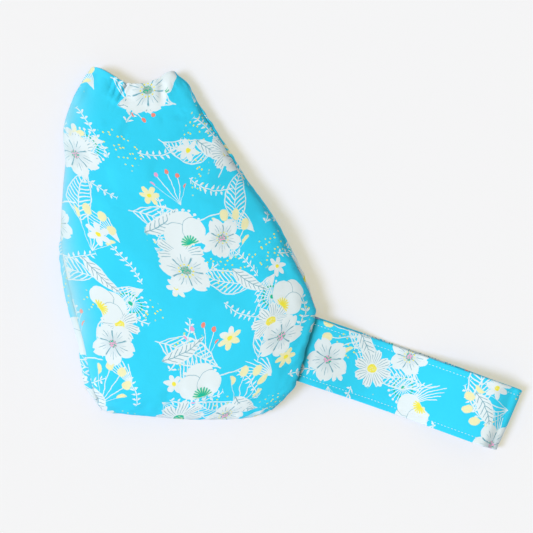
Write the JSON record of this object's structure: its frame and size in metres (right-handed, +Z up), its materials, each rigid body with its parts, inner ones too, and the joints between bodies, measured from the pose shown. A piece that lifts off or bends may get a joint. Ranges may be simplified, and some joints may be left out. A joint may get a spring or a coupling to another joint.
{
  "type": "drawstring pouch",
  "caption": "Padded cloth pouch with a narrow gathered mouth, a wide rounded bottom and a folded wrist strap sewn into one side seam.",
  "frame": {"origin": "the middle of the flat patch that the pouch rests on, as it lies on its back panel", "axes": "+Z up from the surface, out of the front panel; +Y from the bottom towards the mouth; +X towards the wrist strap"},
  "size_m": [0.2992, 0.2485, 0.0319],
  "materials": {
    "print_cotton": "turquoise plain-weave cotton with a pale flower print",
    "lining_cotton": "plain white cotton",
    "strap_cotton": "the same printed cotton, topstitched in white along both edges"
  },
  "bodies": {
    "root": {"front_panel": "print_cotton", "back_panel": "print_cotton", "lining_front": "lining_cotton", "lining_back": "lining_cotton", "wrist_strap": "strap_cotton"}
  },
  "joints": []
}
